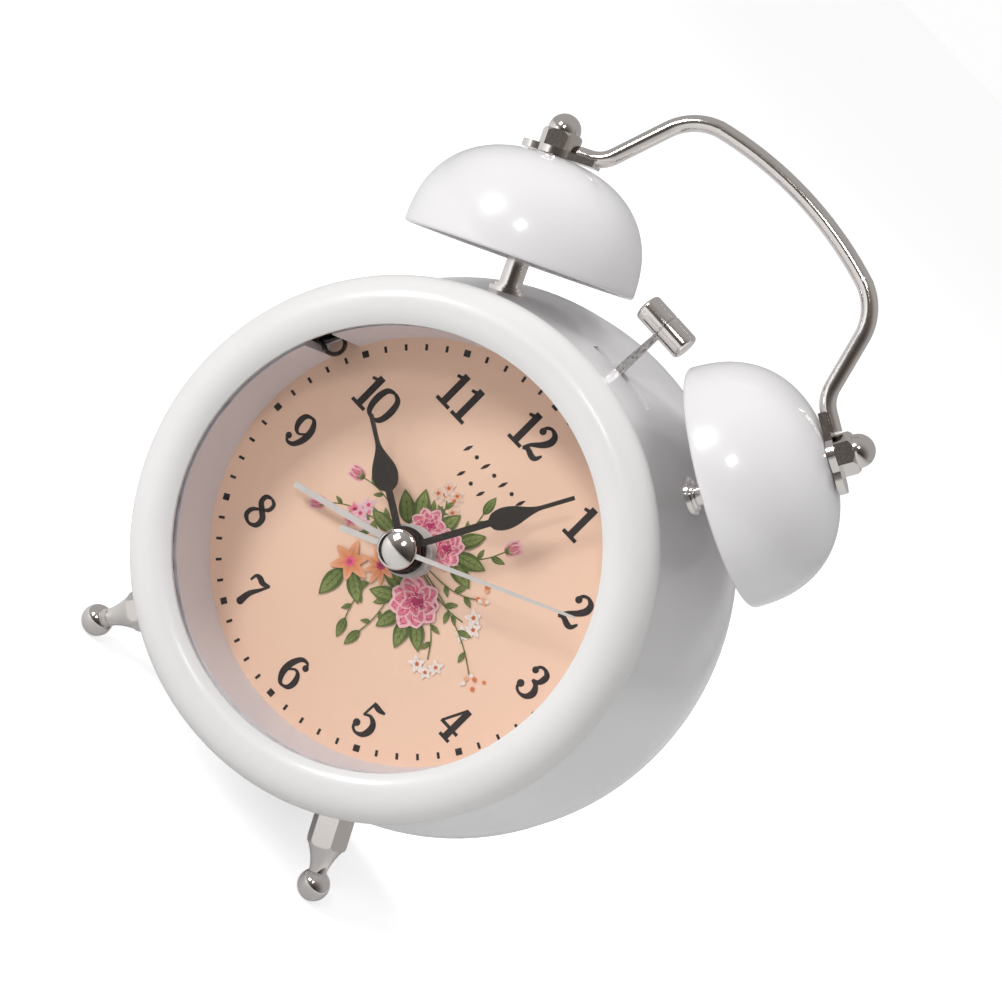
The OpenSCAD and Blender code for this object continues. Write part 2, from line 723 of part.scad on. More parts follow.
module acorn_nut(side) on_post(side) translate([0, 0, nut_base]) difference() {
    union() {
        intersection() {
            linear_extrude(height = 2.6) hexagon(nut_flats);
            cylinder(r1 = hex_r + 1.6, r2 = hex_r - 0.35, h = 2.6);
        }
        translate([0, 0, 2.5]) cylinder(r = 2.5, h = 0.5);
        translate([0, 0, 2.9]) sphere(r = 2.5);
    }
    translate([0, 0, -1]) cylinder(r = screw_r + 0.05, h = 5.2);
}

module acorn_nut_left() color(CHROME) stand() acorn_nut(-1);

module acorn_nut_right() color(CHROME) stand() acorn_nut(1);

// ---- handle ----

grip_corner = 8.6;
tab_corner = 5;
tab_mid = rim_gap + bell_h + tab_thick / 2;
tab_reach = tab_mid * cos(bell_tip);
wire_lift = 0.75;
tab_x = post_x + (tab_reach + wire_lift) * sin(bell_lean);
tab_z = post_z + (tab_reach + wire_lift) * cos(bell_lean);
tab_y = bell_y - tab_mid * sin(bell_tip);
tab_bend = 90 - leg_lean - bell_lean;

// The middle of one half of the wire in front view, from the tab up the leg to the middle of the grip
function half_path(shift) =
    let (grip_centre = [shift, grip_z - grip_r],
         corner = grip_centre + (grip_r - grip_corner) * [sin(grip_turn), cos(grip_turn)],
         top = corner + grip_corner * [cos(leg_lean), sin(leg_lean)],
         drop = (top - [tab_x, tab_z]) * [sin(bell_lean), cos(bell_lean)] - tab_corner * (1 - cos(tab_bend)),
         low = top + drop / sin(tab_bend) * [sin(leg_lean), -cos(leg_lean)],
         low_centre = low + tab_corner * [cos(leg_lean), sin(leg_lean)],
         leg_foot = low_centre - tab_corner * [sin(bell_lean), cos(bell_lean)])
    concat([leg_foot + 3 * [cos(bell_lean), -sin(bell_lean)]],
           arc(low_centre[0], low_centre[1], tab_corner, 270 - bell_lean, 180 + leg_lean, 14),
           arc(corner[0], corner[1], grip_corner, leg_lean, 90 - grip_turn, 20),
           arc(grip_centre[0], grip_centre[1], grip_r, 89 - grip_turn, 90, 9));

right_path = half_path(grip_shift);
left_path = half_path(-grip_shift);
path = concat(right_path, [for (i = [len(left_path) - 1:-1:0]) [-left_path[i][0], left_path[i][1]]]);
path_end = len(path) - 1;
sides = 16;

function along(i) = let (v = path[min(i + 1, path_end)] - path[max(i - 1, 0)]) v / norm(v);

// Sweeps a round section along the path, one ring of points at each point of the path
module wire() polyhedron(
    [for (i = [0:path_end]) for (j = [0:sides - 1]) let (t = along(i), a = 360 * j / sides)
        [path[i][0] - t[1] * wire_r * cos(a), wire_r * sin(a), path[i][1] + t[0] * wire_r * cos(a)]],
    concat([[for (j = [sides - 1:-1:0]) j]], [[for (j = [0:sides - 1]) path_end * sides + j]],
        [for (i = [0:path_end - 1]) for (j = [0:sides - 1]) let (k = (j + 1) % sides)
            [i * sides + j, i * sides + k, (i + 1) * sides + k, (i + 1) * sides + j]]));

module handle_tab(side) on_post(side) translate([0, 0, bell_top]) linear_extrude(height = tab_thick)
    difference() {
        union() {
            circle(r = 3.2);
            translate([side * 3.3, 0]) circle(r = 2.2);
            translate([side < 0 ? -3.3 : -6.5, -2.2]) square([9.8, 4.4]);
        }
        circle(r = screw_hole_r);
    }

module handle() color(CHROME) stand() {
    difference() {
        translate([0, tab_y, 0]) wire();
        for (side = [-1, 1]) on_post(side) {
            translate([0, 0, bell_top - 6]) cylinder(r = 14, h = 6);
            translate([0, 0, nut_base]) cylinder(r = 3.4, h = 7);
            translate([0, 0, bell_top - 1]) cylinder(r = screw_hole_r + 0.6, h = 4);
        }
    }
    handle_tab(-1);
    handle_tab(1);
}

// ---- hammer and its drive ----

module bell_motor() color(SILVER) stand() {
    bar([hammer_x, cam_z], motor_r, bracket_front + 1, 18);
    bar([hammer_x, cam_z], 1.2, bracket_front + 0.2, bracket_front + 1.1);
}

module motor_bracket() color(SILVER) stand() {
    plate(bracket_front, bracket_front + 1) difference() {
        translate([hammer_x - 8, box_top]) square([16, 16]);
        translate([hammer_x, cam_z]) circle(r = 1.25);
    }
    translate([hammer_x - 8, bracket_front, box_top]) cube([3, 9, 1]);
    translate([hammer_x + 5, bracket_front, box_top]) cube([3, 9, 1]);
    bar([hammer_x, hammer_pivot_z], 0.8, hammer_y - 0.8, bracket_front + 0.5);
    bar([hammer_x, hammer_pivot_z], 1.4, hammer_y - 0.9, hammer_y - 0.6);
    bar([hammer_x, hammer_pivot_z], 1.4, hammer_y + 0.6, bracket_front + 0.5);
}

module striker_cam() color(NYLON) stand() {
    bar([hammer_x, cam_z], 2.2, hammer_y + 0.8, bracket_front - 0.2);
    bar([hammer_x, cam_z + cam_orbit], cam_pin_r, hammer_y - 0.7, hammer_y + 0.9);
}

module hammer_arm() color(SILVER) stand() difference() {
    plate(hammer_y - 0.4, hammer_y + 0.4) difference() {
        translate([hammer_x, 0]) union() {
            translate([0, hammer_pivot_z]) circle(r = 2);
            polygon([[-0.9, hammer_pivot_z], [0.9, hammer_pivot_z], [0.4, head_z], [-0.4, head_z]]);
            translate([-4, cam_z - 3]) square([8, hammer_pivot_z - cam_z + 2.4]);
        }
        translate([hammer_x - 2.8, cam_z - 4]) square([5.6, 7]);
    }
    bar([hammer_x, hammer_pivot_z], 0.85, 0, 8);
    hammer_head_shape();
}

// Turned steel head with rounded ends and a groove round its middle
module hammer_head_shape() translate([hammer_x, hammer_y, head_z]) rotate([0, 90, 0]) rotate_extrude($fn = 96)
    polygon(concat([[0, -head_length / 2]],
        arc(head_r - 0.6, -head_length / 2 + 0.6, 0.6, -90, 0, 6),
        [[head_r, -0.18], [head_r - 0.2, 0], [head_r, 0.18]],
        arc(head_r - 0.6, head_length / 2 - 0.6, 0.6, 0, 90, 6),
        [[0, head_length / 2]]));

module hammer_head() color(CHROME) stand() hammer_head_shape();

// ---- feet ----

shoulder = foot_reach - 6;

module foot(side) difference() {
    radial(180 - side * foot_angle, foot_y) {
        translate([0, 0, foot_reach]) sphere(r = ball_r);
        lathe() polygon(concat([[0, shoulder - 0.2]], [for (i = [0:12]) let (s = i / 12)
            [1.35 + 1.4 * pow(1 - s, 1.8), shoulder + (foot_reach - 1.9 - shoulder) * s]], [[0, foot_reach - 1.9]]));
        intersection() {
            translate([0, 0, 36]) linear_extrude(height = shoulder - 36) hexagon(nut_flats);
            translate([0, 0, shoulder - 10]) cylinder(r1 = 8.2, r2 = 2.9, h = 10);
        }
    }
    difference() {
        case_envelope(0.02);
        radial(180 - side * foot_angle, foot_y) cylinder(r = screw_r, h = 60);
    }
}

module foot_screw(side) radial(180 - side * foot_angle, foot_y) translate([0, 0, 35.6]) cylinder(r = screw_r, h = 6);

module foot_left() color(CHROME) stand() {
    foot(-1);
    foot_screw(-1);
}

module foot_right() color(CHROME) stand() {
    foot(1);
    foot_screw(1);
}

module foot_nuts() color(SILVER) stand() for (side = [-1, 1]) radial(180 - side * foot_angle, foot_y) difference() {
    translate([0, 0, 36.3]) linear_extrude(height = 2.2) hexagon(nut_flats);
    cylinder(r = screw_hole_r, h = 60);
}

bezel();
lens();
reflector_ring();
dial();
dial_washer();
dial_plate();
case_shell();
back_cover();
back_screws();
battery_door();
battery();
contact_positive();
contact_negative();
movement_front();
movement_housing();
circuit_board();
stator();
coil();
rotor();
fifth_wheel();
third_wheel();
motion_wheel();
second_arbor();
minute_pipe();
hour_pipe();
alarm_pipe();
second_hand();
minute_hand();
hour_hand();
alarm_hand();
hand_cap();
time_arbor();
time_knob();
alarm_arbor();
alarm_knob();
alarm_switch();
light_button();
lamp_socket();
lamp_bulb();
bell_motor();
motor_bracket();
striker_cam();
hammer_arm();
hammer_head();
bell_left();
bell_right();
bell_post_left();
bell_post_right();
bell_post_washers();
bell_post_nuts();
acorn_nut_left();
acorn_nut_right();
handle();
foot_left();
foot_right();
foot_nuts();
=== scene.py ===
"""Twin-bell alarm clock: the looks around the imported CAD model.

Lengths are in metres. clock(x, y, z) takes millimetres in the clock's own frame, as part.scad does:
the origin is the middle of the dial's face, +X is right, +Y goes back and +Z points to twelve.
"""

import json
import math
import random

import bmesh
import bpy
import numpy as np
from mathutils import Matrix, Vector


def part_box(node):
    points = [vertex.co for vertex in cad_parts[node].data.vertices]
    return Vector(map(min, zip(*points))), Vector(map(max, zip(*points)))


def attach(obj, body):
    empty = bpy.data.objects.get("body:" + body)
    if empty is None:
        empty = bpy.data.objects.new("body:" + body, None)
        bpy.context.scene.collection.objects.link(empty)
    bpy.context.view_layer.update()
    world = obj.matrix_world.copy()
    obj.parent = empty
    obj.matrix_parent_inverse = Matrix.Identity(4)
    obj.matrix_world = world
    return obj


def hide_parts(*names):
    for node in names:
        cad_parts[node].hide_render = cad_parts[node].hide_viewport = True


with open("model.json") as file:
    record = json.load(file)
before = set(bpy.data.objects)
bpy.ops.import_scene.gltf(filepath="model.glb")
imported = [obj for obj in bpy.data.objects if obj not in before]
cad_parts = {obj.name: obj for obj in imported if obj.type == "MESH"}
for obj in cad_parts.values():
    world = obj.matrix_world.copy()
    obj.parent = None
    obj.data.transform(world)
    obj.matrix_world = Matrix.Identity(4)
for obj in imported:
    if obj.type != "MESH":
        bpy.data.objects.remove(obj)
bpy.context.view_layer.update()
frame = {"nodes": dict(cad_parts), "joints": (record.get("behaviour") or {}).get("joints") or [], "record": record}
record = frame["record"]
random.seed(7)

MM = 0.001
TURN = math.tau

# ---- the clock's own frame, from the seconds shaft's joint ----

spindle = next(j for j in frame["joints"] if j["name"] == "second_spin")
middle = Vector(spindle["pos_m"])
right = Vector((1, 0, 0))
inward = Vector(spindle["axis"])
upward = right.cross(inward)


def clock(x, y, z):
    """A point of the clock's frame, in millimetres, as a point of the row frame."""
    return middle + MM * (x * right + y * inward + z * upward)


# ---- materials ----


class Shader:
    """A node material with one Principled shader, and short calls for the nodes that drive it."""

    def __init__(self, name, **values):
        self.material = bpy.data.materials.new(name)
        self.material.use_nodes = True
        self.tree = self.material.node_tree
        self.surface = self.tree.nodes["Principled BSDF"]
        self.place = self.add("ShaderNodeTexCoord").outputs["Object"]
        for socket, value in values.items():
            self.set(socket, value)

    def add(self, kind, **values):
        node = self.tree.nodes.new(kind)
        for key, value in values.items():
            setattr(node, key, value)
        return node

    def link(self, source, target):
        self.tree.links.new(source, target)

    def set(self, socket, value):
        socket = self.surface.inputs[socket.replace("_", " ")]
        if hasattr(value, "is_output"):
            self.link(value, socket)
        elif isinstance(value, tuple) and len(value) == 3:
            socket.default_value = (*value, 1)
        else:
            socket.default_value = value

    def noise(self, scale, detail=3, stretch=None, roughness=0.5):
        """A noise value, at so many features per metre; stretch scales it along each axis."""
        node = self.add("ShaderNodeTexNoise")
        node.inputs["Scale"].default_value = scale
        node.inputs["Detail"].default_value = detail
        node.inputs["Roughness"].default_value = roughness
        source = self.place
        if stretch:
            mapping = self.add("ShaderNodeMapping")
            mapping.inputs["Scale"].default_value = stretch
            self.link(source, mapping.inputs["Vector"])
            source = mapping.outputs["Vector"]
        self.link(source, node.inputs["Vector"])
        return node.outputs["Fac"]

    def ramp(self, source, *stops):
        """Maps a value through (place, colour or grey) stops."""
        node = self.add("ShaderNodeValToRGB")
        elements = node.color_ramp.elements
        while len(elements) < len(stops):
            elements.new(0.5)
        for element, (place, colour) in zip(elements, stops):
            colour = colour if isinstance(colour, tuple) else (colour,) * 3
            element.position = place
            element.color = (*colour, 1)
        self.link(source, node.inputs["Fac"])
        return node.outputs["Color"]

    def bump(self, source, strength, depth=0.00005):
        node = self.add("ShaderNodeBump")
        node.inputs["Strength"].default_value = strength
        node.inputs["Distance"].default_value = depth
        self.link(source, node.inputs["Height"])
        self.set("Normal", node.outputs["Normal"])


def around(colour, spread):
    """Two shades of a colour, for the two ends of a noise ramp."""
    return tuple(c * (1 - spread) for c in colour), tuple(min(1, c * (1 + spread)) for c in colour)


def paint(name, colour, roughness, peel, coat=0.0):
    """Sprayed paint: faint changes of shade and gloss, orange peel and, if glossy, a clear coat."""
    s = Shader(name, Coat_Weight=coat, Coat_Roughness=0.09)
    dark, light = around(colour, 0.015)
    s.set("Base_Color", s.ramp(s.noise(60, 4), (0.3, dark), (0.7, light)))
    s.set("Roughness", s.ramp(s.noise(240, 2), (0.3, roughness * 0.95), (0.75, roughness * 1.05)))
    s.bump(s.noise(420, 1), peel)
    return s.material


def metal(name, colour, roughness, grain=(1, 1, 1), bump=0.05, spread=0.06):
    """Bare or plated metal with fine grain, drawn out along the axes that grain makes small."""
    s = Shader(name, Metallic=1.0)
    dark, light = around(colour, spread)
    lines = s.noise(2600, 4, grain)
    s.set("Base_Color", s.ramp(s.noise(260, 4), (0.3, dark), (0.7, light)))
    s.set("Roughness", s.ramp(lines, (0.3, roughness * 0.7), (0.75, roughness * 1.4)))
    s.bump(lines, bump, 0.00002)
    return s.material


def plastic(name, colour, roughness, texture=0.1, scale=1500):
    """Moulded plastic with a fine spark-eroded texture."""
    s = Shader(name)
    dark, light = around(colour, 0.03)
    s.set("Base_Color", s.ramp(s.noise(90, 4), (0.3, dark), (0.7, light)))
    s.set("Roughness", s.ramp(s.noise(scale * 0.7, 3), (0.3, roughness * 0.85), (0.7, roughness * 1.15)))
    s.bump(s.noise(scale, 3), texture)
    return s.material


def clear(name, colour, mirror):
    """Clear plastic or glass: see-through, with a polished surface's own reflections."""
    s = Shader(name)
    shine = s.add("ShaderNodeBsdfGlossy")
    shine.inputs["Roughness"].default_value = 0.02
    through = s.add("ShaderNodeBsdfTransparent")
    through.inputs["Color"].default_value = (*colour, 1)
    edge = s.add("ShaderNodeFresnel")
    edge.inputs["IOR"].default_value = mirror
    mix = s.add("ShaderNodeMixShader")
    s.link(edge.outputs["Fac"], mix.inputs["Fac"])
    s.link(through.outputs["BSDF"], mix.inputs[1])
    s.link(shine.outputs["BSDF"], mix.inputs[2])
    s.link(mix.outputs["Shader"], s.tree.nodes["Material Output"].inputs["Surface"])
    return s.material


def card(name):
    """Matt printed card: peach, with paper fibre and slow changes of tone."""
    s = Shader(name)
    tone = s.ramp(s.noise(45, 3), (0.3, (0.93, 0.635, 0.47)), (0.7, (0.96, 0.665, 0.50)))
    s.set("Base_Color", tone)
    s.set("Roughness", s.ramp(s.noise(2600, 4), (0.3, 0.62), (0.7, 0.78)))
    s.bump(s.noise(3400, 5), 0.12, 0.00002)
    return s.material


def ink(name, colour, roughness=0.5, spread=0.12):
    """Printing ink, slightly uneven over the paper's fibre."""
    s = Shader(name)
    dark, light = around(colour, spread)
    s.set("Base_Color", s.ramp(s.noise(700, 5), (0.3, dark), (0.72, light)))
    s.set("Roughness", s.ramp(s.noise(3000, 3), (0.3, roughness * 0.9), (0.7, roughness * 1.1)))
    s.bump(s.noise(3400, 5), 0.1, 0.00002)
    return s.material


def watercolour(name):
    """Ink whose colour is painted on the mesh, washed unevenly as watercolour is."""
    s = Shader(name)
    tint = s.add("ShaderNodeAttribute", attribute_name="tint").outputs["Color"]
    mix = s.add("ShaderNodeMix", data_type="RGBA", blend_type="MULTIPLY")
    mix.inputs["Factor"].default_value = 1.0
    s.link(tint, mix.inputs["A"])
    wash = s.ramp(s.noise(900, 6, roughness=0.65), (0.25, 0.86), (0.6, 1.0))
    s.link(wash, mix.inputs["B"])
    s.set("Base_Color", mix.outputs["Result"])
    s.set("Roughness", s.ramp(s.noise(3000, 3), (0.3, 0.55), (0.7, 0.7)))
    s.bump(s.noise(3400, 5), 0.1, 0.00002)
    return s.material


def board(name):
    """Solder resist with the traces showing through it."""
    s = Shader(name)
    lines = s.noise(500, 1, (1, 1, 0.15))
    s.set("Base_Color", s.ramp(lines, (0.47, (0.012, 0.09, 0.03)), (0.5, (0.03, 0.2, 0.07))))
    s.set("Roughness", s.ramp(s.noise(900), (0.3, 0.25), (0.7, 0.4)))
    s.bump(lines, 0.2)
    return s.material


def winding(name):
    """Turns of enamelled wire: copper on each turn, with painted shade darkening it in the grooves between turns.
    """
    s = Shader(name, Metallic=1.0)
    wave = s.add("ShaderNodeTexWave", bands_direction="X")
    wave.inputs["Scale"].default_value = 900
    s.link(s.place, wave.inputs["Vector"])
    # painted shade: the copper colour darkens to deep brown in the grooves between the turns
    s.set("Base_Color", s.ramp(wave.outputs["Fac"], (0.1, (0.28, 0.07, 0.02)), (0.8, (0.72, 0.3, 0.12))))
    s.set("Roughness", s.ramp(wave.outputs["Fac"], (0.1, 0.5), (0.8, 0.25)))
    s.bump(wave.outputs["Fac"], 0.5)
    return s.material


def sleeve(name):
    """The cell's printed sleeve: a dark body and a lighter band towards one end."""
    s = Shader(name, Coat_Weight=0.4)
    split = s.add("ShaderNodeSeparateXYZ")
    s.link(s.place, split.inputs["Vector"])
    ends = s.add("ShaderNodeMapRange")
    low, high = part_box("battery")
    ends.inputs["From Min"].default_value = low.x
    ends.inputs["From Max"].default_value = high.x
    s.link(split.outputs["X"], ends.inputs["Value"])
    s.set("Base_Color", s.ramp(ends.outputs["Result"], (0.69, (0.05, 0.065, 0.1)), (0.7, (0.55, 0.4, 0.22))))
    s.set("Roughness", s.ramp(s.noise(900), (0.3, 0.25), (0.7, 0.4)))
    s.bump(s.noise(500), 0.1)
    return s.material


def finishes():
    """One material for each slot of the record."""
    return {
        "white_enamel": paint("white_enamel", (0.84, 0.825, 0.835), 0.3, 0.0, coat=0.9),
        "bezel_paint": paint("bezel_paint", (0.81, 0.80, 0.79), 0.38, 0.03, coat=0.2),
        "clear_lens": clear("clear_lens", (0.99, 0.99, 0.99), 1.12),
        "reflector_plastic": paint("reflector_plastic", (0.84, 0.85, 0.92), 0.45, 0.0),
        "dial_card": card("dial_card"),
        "chrome": metal("chrome", (0.80, 0.765, 0.735), 0.1, bump=0.02, spread=0.02),
        "plain_steel": metal("plain_steel", (0.58, 0.565, 0.55), 0.3, bump=0.02, spread=0.03),
        "silver_hand": ink("silver_hand", (0.67, 0.635, 0.61), 0.38, spread=0.03),
        "black_hand": plastic("black_hand", (0.03, 0.022, 0.017), 0.4, 0.05),
        "back_plastic": plastic("back_plastic", (0.80, 0.80, 0.785), 0.5, 0.3, 1100),
        "knob_plastic": plastic("knob_plastic", (0.03, 0.03, 0.03), 0.42, 0.2),
        "button_plastic": plastic("button_plastic", (0.46, 0.48, 0.52), 0.3, 0.1),
        "nylon": plastic("nylon", (0.72, 0.69, 0.61), 0.45, 0.1),
        "wheel_brass": metal("wheel_brass", (0.72, 0.53, 0.24), 0.3),
        "board_green": board("board_green"),
        "copper_winding": winding("copper_winding"),
        "magnet_black": plastic("magnet_black", (0.05, 0.05, 0.055), 0.4, 0.2),
        "bulb_glass": clear("bulb_glass", (0.9, 0.92, 0.93), 1.5),
        "cell_label": sleeve("cell_label"),
    }


materials = finishes()


SMOOTH_UNDER = math.radians(24)     # the facets of a turned face meet at less than this


def smooth_group():
    """Geometry nodes that join a mesh's faces and shade across all but its sharp edges."""
    group = bpy.data.node_groups.new("smooth_faces", "GeometryNodeTree")
    for way in ("INPUT", "OUTPUT"):
        group.interface.new_socket("Geometry", in_out=way, socket_type="NodeSocketGeometry")
    start, end, weld, forget, faces, edges, angle, sharp = (group.nodes.new(kind) for kind in (
        "NodeGroupInput", "NodeGroupOutput", "GeometryNodeMergeByDistance", "GeometryNodeRemoveAttribute",
        "GeometryNodeSetShadeSmooth", "GeometryNodeSetShadeSmooth", "GeometryNodeInputMeshEdgeAngle",
        "FunctionNodeCompare"))
    weld.inputs["Distance"].default_value = 1e-6
    forget.inputs["Name"].default_value = "custom_normal"
    edges.domain = "EDGE"
    edges.inputs["Shade Smooth"].default_value = False
    sharp.inputs["B"].default_value = SMOOTH_UNDER
    line = (start, weld, forget, faces, edges, end)
    for a, b in zip(line, line[1:]):
        group.links.new(a.outputs[0], b.inputs[0])
    group.links.new(angle.outputs["Unsigned Angle"], sharp.inputs["A"])
    group.links.new(sharp.outputs["Result"], edges.inputs["Selection"])
    return group


def dress_frame():
    """Gives each CAD node its slot's material and smooth shading over its curved faces."""
    group = smooth_group()
    for part in record["subparts"]:
        node = frame["nodes"][part["node"]]
        node.data.materials.clear()
        node.data.materials.append(materials[part["material_slot"]])
        node.modifiers.new("smooth", "NODES").node_group = group


# ---- mesh helpers ----


def points_of(node):
    """The different vertices of a CAD node, as an array in metres."""
    mesh = frame["nodes"][node].data
    flat = np.empty(len(mesh.vertices) * 3)
    mesh.vertices.foreach_get("co", flat)
    return np.unique(flat.reshape(-1, 3).round(7), axis=0)


def axis_of(node):
    """The middle of a long turned node's lower end, and the direction of its axis."""
    points = points_of(node)
    along = points @ np.linalg.svd(points - points.mean(0), full_matrices=False)[2][0]
    ends = [points[along < along.min() + 2e-6].mean(0), points[along > along.max() - 2e-6].mean(0)]
    low, high = sorted((Vector(end) for end in ends), key=lambda end: end.z)
    return low, (high - low).normalized()


def reach_of(node, origin, axis):
    """How far a node reaches along an axis, lowest and highest, and its largest radius about it."""
    points = points_of(node) - np.array(origin)
    along = points @ np.array(axis)
    away = np.linalg.norm(points - np.outer(along, np.array(axis)), axis=1)
    return float(along.min()), float(along.max()), float(away.max())


def turned(bm, origin, axis, profile, sides=160):
    """A closed profile of (radius, height) points, in metres, turned about an axis."""
    side = axis.orthogonal().normalized()
    other = axis.cross(side)
    rings = []
    for radius, height in profile:
        rings.append([bm.verts.new(origin + height * axis + radius * (math.cos(TURN * k / sides) * side
                                                                     + math.sin(TURN * k / sides) * other))
                      for k in range(sides)])
    for a, b in zip(rings, rings[1:] + rings[:1]):
        for k in range(sides):
            n = (k + 1) % sides
            face = bm.faces.new((a[k], a[n], b[n], b[k]))
            face.smooth = True


def solid(name, body, material, build):
    """A new piece from a bmesh that build(bm) fills, riding on a body, with its slot's finish."""
    bm = bmesh.new()
    build(bm)
    bmesh.ops.remove_doubles(bm, verts=bm.verts, dist=1e-7)
    bmesh.ops.recalc_face_normals(bm, faces=bm.faces)
    mesh = bpy.data.meshes.new(name)
    bm.to_mesh(mesh)
    bm.free()
    piece = bpy.data.objects.new(name, mesh)
    bpy.context.scene.collection.objects.link(piece)
    mesh.materials.append(material)
    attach(piece, body)
    return piece


PRINT_THICK = 0.02      # of the ink's layer, in millimetres, drawn thick enough to render


def sheet(bm, outline, base, thick=PRINT_THICK, tint=None):
    """A flat shape on the dial: outline is (x, z) in millimetres, base its distance in front of the card."""
    layer = bm.loops.layers.float_color.get("tint")
    back = [bm.verts.new(clock(x, -base, z)) for x, z in outline]
    front = [bm.verts.new(clock(x, -base - thick, z)) for x, z in outline]
    n = len(outline)
    faces = [bm.faces.new(front), bm.faces.new(back[::-1])]
    faces += [bm.faces.new((back[i], back[(i + 1) % n], front[(i + 1) % n], front[i])) for i in range(n)]
    if layer and tint:
        for face in faces:
            for loop in face.loops:
                loop[layer] = (*tint, 1)
    return faces


def smooth_path(points, steps=8):
    """A Catmull-Rom curve through (x, z, ...) points."""
    out = []
    for i in range(len(points) - 1):
        a, b, c, d = (points[min(max(i + k, 0), len(points) - 1)] for k in (-1, 0, 1, 2))
        for k in range(steps):
            t = k / steps
            out.append(tuple(0.5 * (2 * q + (r - p) * t + (2 * p - 5 * q + 4 * r - s) * t * t
                                    + (3 * q - p - 3 * r + s) * t ** 3)
                             for p, q, r, s in zip(a, b, c, d)))
    return out + [tuple(points[-1])]


def stroke(bm, points, base, steps=8, tint=None, place=None):
    """A pen stroke of changing width through (x, z, width) points."""
    path = smooth_path(points, steps)
    left, other = [], []
    for i, (x, z, width) in enumerate(path):
        ax, az = path[max(i - 1, 0)][:2]
        bx, bz = path[min(i + 1, len(path) - 1)][:2]
        length = math.hypot(bx - ax, bz - az) or 1
        nx, nz = -(bz - az) / length * width / 2, (bx - ax) / length * width / 2
        left.append((x + nx, z + nz))
        other.append((x - nx, z - nz))
    put = place or (lambda p: p)
    strip(bm, [put(p) for p in left], [put(p) for p in other], base, tint)


def strip(bm, left, other, base, tint=None):
    """A thin closed ribbon between two lines of points on the dial."""
    layer = bm.loops.layers.float_color.get("tint")
    rows = [[bm.verts.new(clock(x, -base - lift, z)) for x, z in line]
            for line, lift in ((left, 0), (left, PRINT_THICK), (other, PRINT_THICK), (other, 0))]
    faces = []
    for a, b in zip(rows, rows[1:] + rows[:1]):
        for i in range(len(left) - 1):
            faces.append(bm.faces.new((a[i], a[i + 1], b[i + 1], b[i])))
    faces.append(bm.faces.new([row[0] for row in rows]))
    faces.append(bm.faces.new([row[-1] for row in rows][::-1]))
    if layer and tint:
        for face in faces:
            for loop in face.loops:
                loop[layer] = (*tint, 1)


def disc(bm, x, z, radius, base, tint=None, place=None, sides=24):
    put = place or (lambda p: p)
    sheet(bm, [put((x + radius * math.cos(TURN * i / sides), z + radius * math.sin(TURN * i / sides)))
               for i in range(sides)], base, tint=tint)


# ---- bells ----

BELL_POWER = 2.4        # how square the dome is: 2 would be an ellipse
BELL_WALL = 1.0 * MM
BELL_HOLE = 1.6 * MM    # round the screw
LIP = 0.5 * MM          # radius of the rolled rim


def bells():
    """Spun and enamelled domes, with a rolled lip that the paint rounds over."""
    for side in ("left", "right"):
        origin, axis = axis_of(f"bell_post_{side}")
        low, high, radius = reach_of(f"bell_{side}", origin, axis)

        def dome(inset, start, steps=40):
            r, h = radius - inset, high - low - inset
            line = []
            for i in range(steps + 1):
                t = start + (math.pi / 2 - start) * i / steps
                line.append((r * math.cos(t) ** (2 / BELL_POWER), low + h * math.sin(t) ** (2 / BELL_POWER)))
            return [(x, y) for x, y in line if x > BELL_HOLE + 0.1 * MM]

        lip = [(radius - LIP * (1 - math.cos(a)), low + LIP * (1 - math.sin(a)))
               for a in (math.pi * i / 10 for i in range(11))]
        outer = [p for p in dome(0, 0.05) if p[1] > low + LIP]
        inner = [p for p in dome(BELL_WALL, 0.05) if p[1] > low + LIP]
        profile = lip[::-1] + outer + [(BELL_HOLE, outer[-1][1]), (BELL_HOLE, inner[-1][1])] + inner[::-1]
        piece = solid(f"bell_{side}_dome", "case", materials["white_enamel"],
                      lambda bm: turned(bm, origin, axis, profile))
        piece.modifiers.new("crease", "EDGE_SPLIT").split_angle = math.radians(50)
        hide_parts(f"bell_{side}")


# ---- the cap over the hands ----


def hub_cap():
    """A shallow polished dome with a rounded edge, which mirrors the room rather than the dial."""
    low, high, radius = reach_of("hand_cap", middle, inward)
    edge, drop, bore, pin = 0.3 * MM, 0.75 * MM, 1.0 * MM, 0.01 * MM
    front = low + 0.3 * MM
    steps = 24
    profile = [(pin + (radius - edge - pin) * i / steps, front + drop * (i / steps) ** 2)
               for i in range(steps)]
    profile += [(radius - edge * (1 - math.sin(a)), front + drop + edge * (1 - math.cos(a)))
                for a in (math.pi * i / 16 for i in range(9))]
    profile += [(radius, high), (bore, high), (bore, front + drop), (pin, front + drop)]
    piece = solid("hand_cap_dome", "seconds", materials["chrome"],
                  lambda bm: turned(bm, middle, inward, profile))
    piece.modifiers.new("crease", "EDGE_SPLIT").split_angle = math.radians(50)
    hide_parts("hand_cap")


# ---- the dial's print ----

TRACK = 30.0        # radius of the minute track, in millimetres
PRINT_TURN = math.radians(2.2)   # the card sits slightly anticlockwise in the case
INK_BASE = 0.02         # the ink's distance in front of the card


def on_card(x, z):
    """A point of the print, which is turned a little against the case."""
    c, s = math.cos(PRINT_TURN), math.sin(PRINT_TURN)
    return x * c - z * s, x * s + z * c


def minute_track():
    def build(bm):
        for minute in range(60):
            angle = TURN * minute / 60
            hour = minute % 5 == 0
            half, reach = (0.5, 0.5) if hour else (0.21, 0.47)
            inner, outer = TRACK - reach, TRACK + reach
            corners = [(-half, inner), (half, inner), (half, outer), (-half, outer)]
            c, s = math.cos(angle), math.sin(angle)
            sheet(bm, [on_card(x * c + z * s, -x * s + z * c) for x, z in corners], INK_BASE)
    solid("minute_track", "case", black_ink, build)


